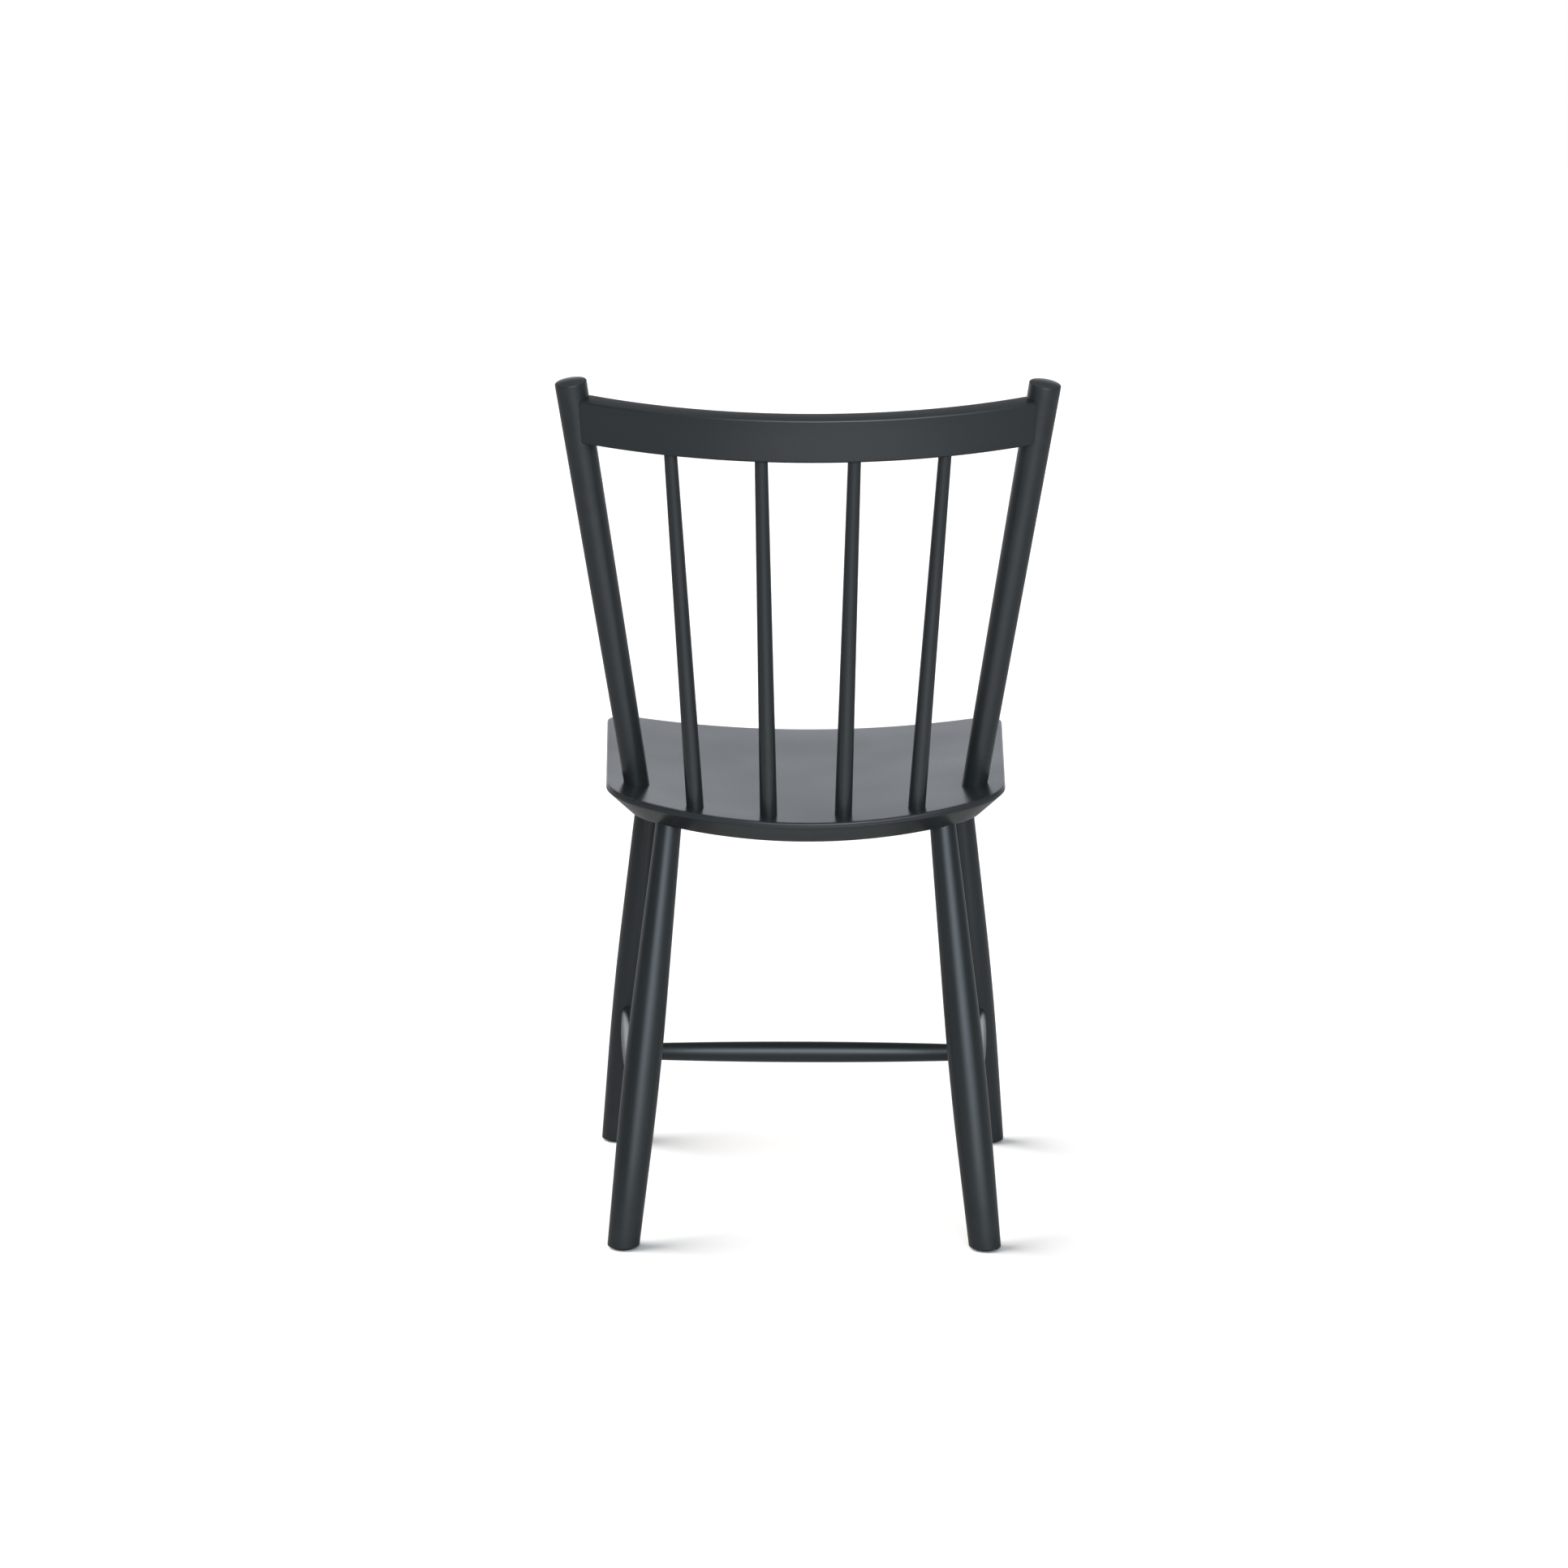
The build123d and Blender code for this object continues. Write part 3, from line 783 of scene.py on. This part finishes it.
class CHAIR_OT_shape_seat(bpy.types.Operator):
    """Shape the seat board: outline, rounded edge, undercut and hollow"""

    bl_idname = "chair.shape_seat"
    bl_label = "Shape Seat"
    top_margin = 0.004  # strip between the rounded edge and the grid of the top
    under_margin = 0.006  # strip between the undercut and the grid of the underside
    edge_steps, arris_steps, slant_steps = 6, 5, 6

    def execute(self, context):
        sizes = context.scene.chair_seat
        outline = SeatOutline(sizes)
        first, *loops = self.section(sizes)
        top = self.lay_grid(outline, "shaped_seat", *first)
        for inset, depth in loops:
            self.add_loop(top, outline, inset, depth)
        under = self.lay_grid(outline, "seat_underside", *loops[-1])
        seat = self.join(top, under)
        keep_edges(seat, lambda point: 1.0 if -sizes.rounding < point.z < -SAME_POINT else 0.0)
        for vertex in seat.data.vertices:
            reach = sizes.hollow_radius - vertex.co.z
            vertex.co.z = sizes.hollow_radius - sqrt(reach**2 - vertex.co.x**2)
        keep_grain(seat, lambda point: Vector((point.x, point.z, point.y)))
        front_middle = Matrix.Translation((0, sizes.front_edge, sizes.front_height))
        fit(seat, front_middle @ Matrix.Rotation(-sizes.slope, 4, "X"))
        hand_over(seat, "seat")
        return {"FINISHED"}

    def section(self, sizes):
        """Inset and depth of each loop round the edge, from the top inwards to the underside."""
        rounding = sizes.rounding
        lip, under = (0, sizes.lip), (sizes.undercut, sizes.thickness)
        within = (sizes.undercut + self.under_margin, sizes.thickness)
        edge = arc((rounding, rounding), rounding, 1.5 * pi, pi, self.edge_steps)
        middle = blend((0, 0), lip, under, sizes.lip_rounding, self.arris_steps)
        lower = blend(lip, under, within, sizes.arris, self.arris_steps)
        first, last = Vector(middle[-1]), Vector(lower[0])
        steps = range(1, self.slant_steps)
        slant = [tuple(first.lerp(last, step / self.slant_steps)) for step in steps]
        return [(rounding + self.top_margin, 0), *edge, *middle, *slant, *lower, within]

    def lay_grid(self, outline, name, inset, depth):
        """Lay a grid of quads inside the outline, at the inset and depth of one loop."""
        deselect_all()
        across, back = outline.across, outline.back
        bpy.ops.mesh.primitive_grid_add(x_subdivisions=across, y_subdivisions=back, size=1)
        grid = bpy.context.object
        grid.name = name
        patch = outline.patch(inset)
        for vertex in grid.data.vertices:
            column = round((vertex.co.x + 0.5) * across)
            row = round((vertex.co.y + 0.5) * back)
            vertex.co = (*patch(column, row), -depth)
        return grid

    def add_loop(self, seat, outline, inset, depth):
        """Extrude the open edge of the board to the next loop of its section."""
        pick(seat)
        bpy.ops.object.mode_set(mode="EDIT")
        choose_edges(seat, lambda edge: edge.is_boundary)
        bpy.ops.mesh.extrude_region_move()
        shape = bmesh.from_edit_mesh(seat.data)
        for vertex in shape.verts:
            if vertex.select:
                vertex.co = (*outline.shifted(vertex.co, inset), -depth)
        bmesh.update_edit_mesh(seat.data)
        bpy.ops.object.mode_set(mode="OBJECT")

    def join(self, top, under):
        """Join the underside to the rest and close the seam between them."""
        pick(top)
        under.select_set(True)
        bpy.ops.object.join()
        bpy.ops.object.mode_set(mode="EDIT")
        close_up()
        return top


class SeatOutline:
    """Outline of the seat on the bench: bowed front and rear, straight sides, rounded corners."""

    front_steps, front_corner_steps, side_steps, rear_corner_steps, rear_steps = 24, 8, 32, 12, 20

    def __init__(self, sizes):
        half_front, half_rear = sizes.front_width / 2, sizes.rear_width / 2
        front = Vector((half_front, sizes.front_bow))
        rear = Vector((half_rear, sizes.depth - sizes.rear_bow))
        along = (rear - front).normalized()
        inward = Vector((-along.y, along.x))
        front_radius = bow_radius(half_front, sizes.front_bow)
        rear_radius = bow_radius(half_rear, sizes.rear_bow)
        front_centre = Vector((0, front_radius))
        rear_centre = Vector((0, sizes.depth - rear_radius))
        near = self.corner(front, along, inward, sizes.front_corner, front_centre, front_radius)
        far = self.corner(rear, -along, inward, sizes.rear_corner, rear_centre, rear_radius)
        side_turn = atan2(-inward.y, -inward.x)
        front_turn = atan2(near.y - front_centre.y, near.x - front_centre.x)
        rear_turn = atan2(far.y - rear_centre.y, far.x - rear_centre.x)
        front_half = self.follow(
            (front_centre, front_radius, -pi / 2, front_turn, self.front_steps),
            (near, sizes.front_corner, front_turn, side_turn, 2 * self.front_corner_steps),
        )
        rear_half = self.follow(
            (far, sizes.rear_corner, side_turn, rear_turn, 2 * self.rear_corner_steps),
            (rear_centre, rear_radius, rear_turn, pi / 2, self.rear_steps),
        )
        start, end = front_half[-1][0], rear_half[0][0]
        shares = [step / self.side_steps for step in range(1, self.side_steps)]
        left = [*front_half, *((start.lerp(end, part), -inward) for part in shares), *rear_half]
        right = [(Vector((-p.x, p.y)), Vector((-n.x, n.y))) for p, n in reversed(left[1:-1])]
        self.loop = left + right
        self.across = 2 * (self.front_steps + self.front_corner_steps)
        self.back = self.front_corner_steps + self.side_steps + self.rear_corner_steps

    def corner(self, start, along, inward, radius, centre, bow):
        """Centre of the arc that rounds the corner between a straight side and a bowed edge."""
        base = start + inward * radius - centre
        middle = base.dot(along)
        root = sqrt(middle**2 - base.length_squared + (bow - radius) ** 2)
        step = min(step for step in (-middle - root, -middle + root) if step >= 0)
        return centre + base + along * step

    def follow(self, *arcs):
        """Points and outward normals along arcs that run into each other."""
        path = []
        for centre, radius, start, end, steps in arcs:
            points = [Vector(point) for point in arc(centre, radius, start, end, steps)]
            fresh = points[1:] if path else points
            path += [(point, (point - centre).normalized()) for point in fresh]
        return path

    def shifted(self, place, inset):
        """Point of the loop at an inset that belongs to the outline's point nearest to a place."""
        flat = Vector(place[:2])
        point, normal = min(self.loop, key=lambda pair: (pair[0] - flat).length_squared)
        return point - normal * inset

    def patch(self, inset):
        """Function that gives the points of an even grid inside the loop at an inset."""
        loop = [point - normal * inset for point, normal in self.loop]
        across, back, count = self.across, self.back, len(self.loop)
        half = across // 2
        front = [loop[(step - half) % count] for step in range(across + 1)]
        left = [loop[half + step] for step in range(back + 1)]
        rear = [loop[(half + back + across - step) % count] for step in range(across + 1)]
        right = [loop[(-half - step) % count] for step in range(back + 1)]

        def place(column, row):
            u, v = column / across, row / back
            edges = front[column].lerp(rear[column], v) + right[row].lerp(left[row], u)
            return edges - front[0].lerp(front[-1], u).lerp(rear[0].lerp(rear[-1], u), v)

        return place


class CHAIR_OT_finish_glides(bpy.types.Operator):
    """Give the glides their moulded plastic and the nails their steel"""

    bl_idname = "chair.finish_glides"
    bl_label = "Finish Glides"

    def execute(self, context):
        finish = context.scene.chair_finish
        plastic = fine_grain_finish(
            "moulded_plastic", finish.plastic, metallic=0.0, roughness=0.5, scale=900.0
        )
        steel = fine_grain_finish(
            "bright_steel", finish.steel, metallic=1.0, roughness=0.3, scale=1500.0
        )
        for node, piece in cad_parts.items():
            if node.endswith("_glide"):
                piece.data.materials.clear()
                piece.data.materials.append(plastic)
            elif node == "glide_nails":
                piece.data.materials.clear()
                piece.data.materials.append(steel)
        return {"FINISHED"}


class CHAIR_OT_set_stage(bpy.types.Operator):
    """Lay the floor, light the studio and set up the camera"""

    bl_idname = "chair.set_stage"
    bl_label = "Set Stage"
    floor_size = 40
    painted_pool_edge = (1.0, 0.15)  # shares of the painted pool's reach where it ends and where it is full
    ceiling_edge = (0.5, 0.9)  # heights of a direction where the light begins and is full
    # Degrees from the middle, or above the horizon, where the other lights end and are full
    panel_sides, panel_tops = (42, 20), (70, 20)
    backdrop_sides, backdrop_tops = (75, 25), (32, 8)
    softbox_edge = (28, 8)
    floor_lamp_place = (2, 0, 2)
    floor_lamp_aim = Vector((-1, 0.08, -1))
    sensor_width = 36

    def execute(self, context):
        studio = context.scene.chair_studio
        context.scene.view_settings.view_transform = "Standard"
        floor = self.lay_floor(studio)
        self.light_world(context.scene, studio)
        self.hang_floor_lamp(floor, studio)
        self.place_camera(context.scene, studio)
        return {"FINISHED"}

    def lay_floor(self, studio):
        """Pale floor that shows to the camera as white with the chair's shadow; to the chair it shows a
        darker colour with a painted pool of light by the camera.
        """
        deselect_all()
        bpy.ops.mesh.primitive_plane_add(size=self.floor_size)
        floor = bpy.context.object
        floor.name = "studio_floor"
        material = bpy.data.materials.new("pale_floor")
        tree = Tree(material)
        seen = tree.add("LightPath").outputs["Is Camera Ray"]
        spot = tree.add("TexCoord").outputs["Object"]
        away = tree.vector("SUBTRACT", spot, studio.painted_pool_place)
        reach = tree.vector("LENGTH", tree.vector("DIVIDE", away, studio.pool_size))
        # Painted pool of light: the colour that reflections and bounce see grows brighter towards the
        # middle of the pool by the camera
        bounce = tree.ramp(reach, *self.painted_pool_edge, studio.floor_bounce, studio.pool)
        paper = tree.add("BsdfDiffuse", {"Color": tree.mix(seen, bounce, (*studio.floor, 1))})
        tree.add("OutputMaterial", {"Surface": paper.outputs["BSDF"]})
        floor.data.materials.append(material)
        return floor

    def light_world(self, scene, studio):
        """Soft studio: a bright backdrop, a tall panel by the camera, a dim ceiling and dark sides."""
        scene.world = bpy.data.worlds.new("studio")
        tree = Tree(scene.world)
        direction = tree.add("TexCoord").outputs["Generated"]
        panel = self.screen(
            tree, direction, studio.panel_turn, self.panel_sides, self.panel_tops
        )
        backdrop = self.screen(
            tree, direction, studio.backdrop_turn, self.backdrop_sides, self.backdrop_tops
        )
        softbox = self.disc(tree, direction, studio.softbox_turn, studio.softbox_lift)
        height = tree.add("SeparateXYZ", {"Vector": direction}).outputs["Z"]
        ceiling = tree.ramp(height, *self.ceiling_edge, high=studio.overhead)
        light = tree.math("ADD", ceiling, studio.ambient)
        for shape, level, tint in (
            (panel, studio.panel, studio.panel_tint),
            (softbox, studio.softbox, studio.panel_tint),
            (backdrop, studio.backdrop, studio.backdrop_tint),
        ):
            glow = tree.vector("MULTIPLY", tuple(level * part for part in tint), shape)
            light = tree.vector("ADD", light, glow)
        lit = tree.add("Background", {"Color": light, "Strength": 1.0})
        plain = tree.add("Background", {"Color": (1, 1, 1, 1), "Strength": 1.0})
        seen = tree.add("LightPath").outputs["Is Camera Ray"]
        mixed = tree.add("MixShader", {0: seen, 1: lit.outputs[0], 2: plain.outputs[0]})
        tree.add("OutputWorld", {"Surface": mixed.outputs["Shader"]})

    def screen(self, tree, direction, turn, sides, tops):
        """Upright screen of light with soft edges, at a turn round the chair."""
        level = tree.vector("NORMALIZE", tree.vector("MULTIPLY", direction, (1, 1, 0)))
        facing = tree.vector("DOT_PRODUCT", level, (sin(turn), cos(turn), 0))
        across = tree.ramp(facing, *(cos(radians(side)) for side in sides))
        height = tree.add("SeparateXYZ", {"Vector": direction}).outputs["Z"]
        up = tree.ramp(height, *(sin(radians(top)) for top in tops))
        return tree.math("MULTIPLY", across, up)

    def disc(self, tree, direction, turn, lift):
        """Round lamp with a soft edge, at a turn round the chair and a lift above the floor."""
        aim = Matrix.Rotation(-turn, 3, "Z") @ Matrix.Rotation(lift, 3, "X") @ Vector((0, 1, 0))
        facing = tree.vector("DOT_PRODUCT", direction, aim)
        return tree.ramp(facing, *(cos(radians(edge)) for edge in self.softbox_edge))

    def hang_floor_lamp(self, floor, studio):
        """Wide lamp from the left for the floor alone, so that the legs' shadow shows on white."""
        deselect_all()
        aim = self.floor_lamp_aim.to_track_quat("-Z", "Y").to_euler()
        bpy.ops.object.light_add(type="SUN", location=self.floor_lamp_place, rotation=aim)
        lamp = bpy.context.object
        lamp.name = "floor_lamp"
        lamp.data.energy = studio.floor_lamp
        lamp.data.angle = studio.floor_lamp_width
        lit = bpy.data.collections.new("lit_by_floor_lamp")
        lit.objects.link(floor)
        lamp.light_linking.receiver_collection = lit
        shading = bpy.data.collections.new("shading_the_floor")
        for side in SIDES:
            for end in ("front", "rear"):
                shading.objects.link(bpy.data.objects[f"turned_{end}_{side}_leg"])
        lamp.light_linking.blocker_collection = shading

    def place_camera(self, scene, studio):
        """Camera behind the chair, a little above its back."""
        deselect_all()
        bpy.ops.object.camera_add(location=studio.camera)
        camera = bpy.context.object
        look = Matrix.Rotation(pi, 3, "Z") @ Matrix.Rotation(pi / 2 - studio.tilt, 3, "X")
        camera.rotation_euler = (look @ Matrix.Rotation(studio.roll, 3, "Z")).to_euler()
        camera.data.lens = studio.lens
        camera.data.sensor_width = self.sensor_width
        scene.camera = camera


class CHAIR_PT_workshop(bpy.types.Panel):
    """Steps that make the chair, in order"""

    bl_idname = "CHAIR_PT_workshop"
    bl_label = "Side Chair"
    bl_space_type = "VIEW_3D"
    bl_region_type = "UI"
    bl_category = "Chair"

    def draw(self, context):
        for step in STEPS:
            self.layout.operator(step.bl_idname)


GROUPS = {
    "chair_seat": SeatSizes,
    "chair_turnings": TurningSizes,
    "chair_rail": RailSizes,
    "chair_finish": FinishSettings,
    "chair_studio": StudioSettings,
}
STEPS = (
    CHAIR_OT_turn_legs,
    CHAIR_OT_turn_stretchers,
    CHAIR_OT_turn_posts,
    CHAIR_OT_turn_spindles,
    CHAIR_OT_bend_crest_rail,
    CHAIR_OT_shape_seat,
    CHAIR_OT_finish_glides,
    CHAIR_OT_set_stage,
)


def register():
    for name, group in GROUPS.items():
        bpy.utils.register_class(group)
        setattr(bpy.types.Scene, name, PointerProperty(type=group))
    for step in (*STEPS, CHAIR_PT_workshop):
        bpy.utils.register_class(step)


def unregister():
    for step in reversed((*STEPS, CHAIR_PT_workshop)):
        bpy.utils.unregister_class(step)
    for name, group in reversed(GROUPS.items()):
        delattr(bpy.types.Scene, name)
        bpy.utils.unregister_class(group)


def main():
    register()
    bpy.ops.chair.turn_legs()
    bpy.ops.chair.turn_stretchers()
    bpy.ops.chair.turn_posts()
    bpy.ops.chair.turn_spindles()
    bpy.ops.chair.bend_crest_rail()
    bpy.ops.chair.shape_seat()
    bpy.ops.chair.finish_glides()
    bpy.ops.chair.set_stage()


if __name__ == "__main__":
    main()
